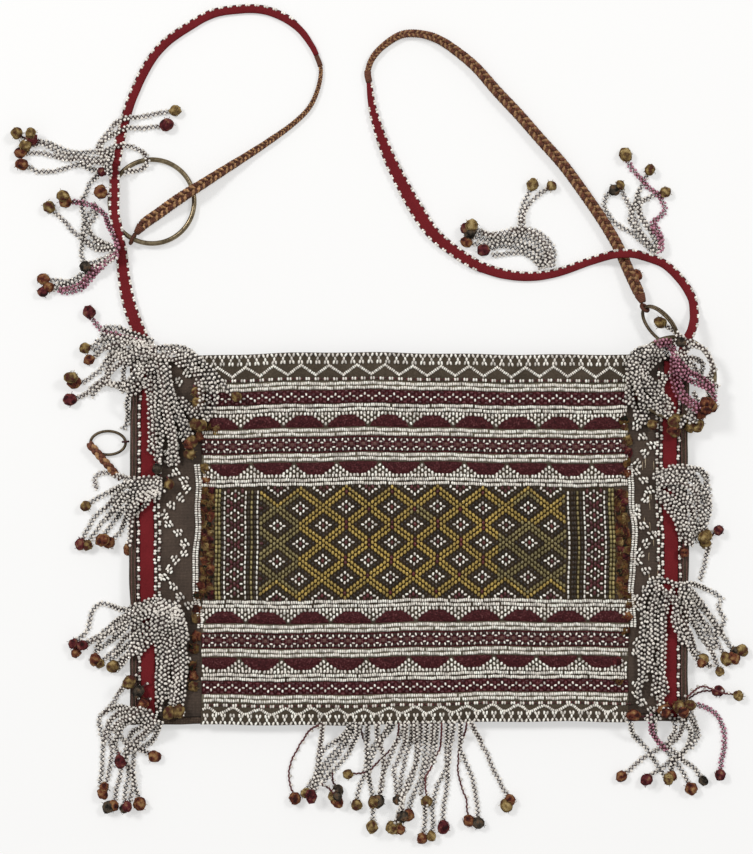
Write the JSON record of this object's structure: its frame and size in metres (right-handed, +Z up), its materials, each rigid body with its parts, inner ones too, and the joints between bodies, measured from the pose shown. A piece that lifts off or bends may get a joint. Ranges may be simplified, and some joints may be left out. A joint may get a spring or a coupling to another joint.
{
  "type": "beaded backpack",
  "caption": "Flat cloth backpack with a beadwork front, bead tassels with wool pompons, and two straps of red cloth and plaited cord that run through brass rings.",
  "frame": {"origin": "middle of the back panel's underside, on which the bag lies", "axes": "+Z up out of the beaded front, +Y towards the mouth and the shoulder loops, +X to the right seen from the front"},
  "size_m": [0.501, 0.5738, 0.0192],
  "materials": {
    "brown_cloth": "matt plain weave",
    "dark_binding": "matt cloth",
    "red_wool": "felted wool",
    "ochre_wool": "cut wool",
    "white_beads": "glossy opaque beads",
    "maroon_beads": "glossy opaque beads",
    "olive_beads": "glossy opaque beads",
    "yellow_beads": "glossy opaque beads",
    "tassel_beads": "beads on dark thread with wool tips",
    "tan_plait": "plaited cord",
    "aged_brass": "worn and tarnished"
  },
  "bodies": {
    "bag": {"back_panel": "brown_cloth", "front_panel": "brown_cloth", "side_binding_left": "dark_binding", "side_binding_right": "dark_binding", "bottom_fold": "dark_binding", "edge_band_top": "maroon_beads", "white_row_1": "white_beads", "zigzag_band_top": "maroon_beads", "triangle_band_1": "white_beads", "white_row_2": "white_beads", "ring_band_top": "maroon_beads", "white_row_3": "white_beads", "triangle_band_2": "white_beads", "triangle_band_3": "white_beads", "white_row_4": "white_beads", "ring_band_bottom": "maroon_beads", "white_row_5": "white_beads", "triangle_band_4": "white_beads", "zigzag_band_bottom": "maroon_beads", "white_row_6": "white_beads", "edge_band_bottom": "maroon_beads", "double_bead_line_left": "white_beads", "double_bead_line_right": "white_beads", "wool_patches_left": "ochre_wool", "wool_patches_right": "ochre_wool", "flower_column_left": "maroon_beads", "flower_column_right": "maroon_beads", "centre_panel": "olive_beads", "diamond_lattice": "yellow_beads", "red_strip_left": "red_wool", "red_strip_right": "red_wool", "bead_clusters_left": "white_beads", "bead_clusters_right": "white_beads", "red_strap_left": "red_wool", "red_strap_right": "red_wool", "plaited_cord_left": "tan_plait", "plaited_cord_right": "tan_plait", "cord_eye_left": "tan_plait", "cord_eye_right": "tan_plait", "short_plait_left": "tan_plait", "oval_link_right": "aged_brass", "dee_link_left": "aged_brass", "dee_wrap_left": "dark_binding", "tassel_left_strap_upper": "tassel_beads", "tassel_left_strap_lower": "tassel_beads", "tassel_top_left": "tassel_beads", "tassel_left_middle": "tassel_beads", "tassel_left_lower": "tassel_beads", "tassel_bottom_left": "tassel_beads", "tassel_bottom_middle": "tassel_beads", "tassel_bottom_right": "tassel_beads", "tassel_right_lower": "tassel_beads", "tassel_right_middle": "tassel_beads", "tassel_top_right": "tassel_beads", "tassel_right_strap": "tassel_beads", "tassel_right_strap_upper": "tassel_beads"},
    "ring_left": {"brass_ring_left": "aged_brass"},
    "ring_right": {"brass_ring_right": "aged_brass"}
  },
  "joints": [
    {"name": "ring_turn_left", "type": "hinge", "parent": "bag", "child": "ring_left", "pos_m": [-0.175, 0.23, 0.0033], "axis": [0.0214, 0.0419, 0.9989], "continuous": true},
    {"name": "ring_turn_right", "type": "hinge", "parent": "bag", "child": "ring_right", "pos_m": [0.18, 0.11, 0.01255], "axis": [0.0349, 0, 0.9994], "continuous": true}
  ]
}
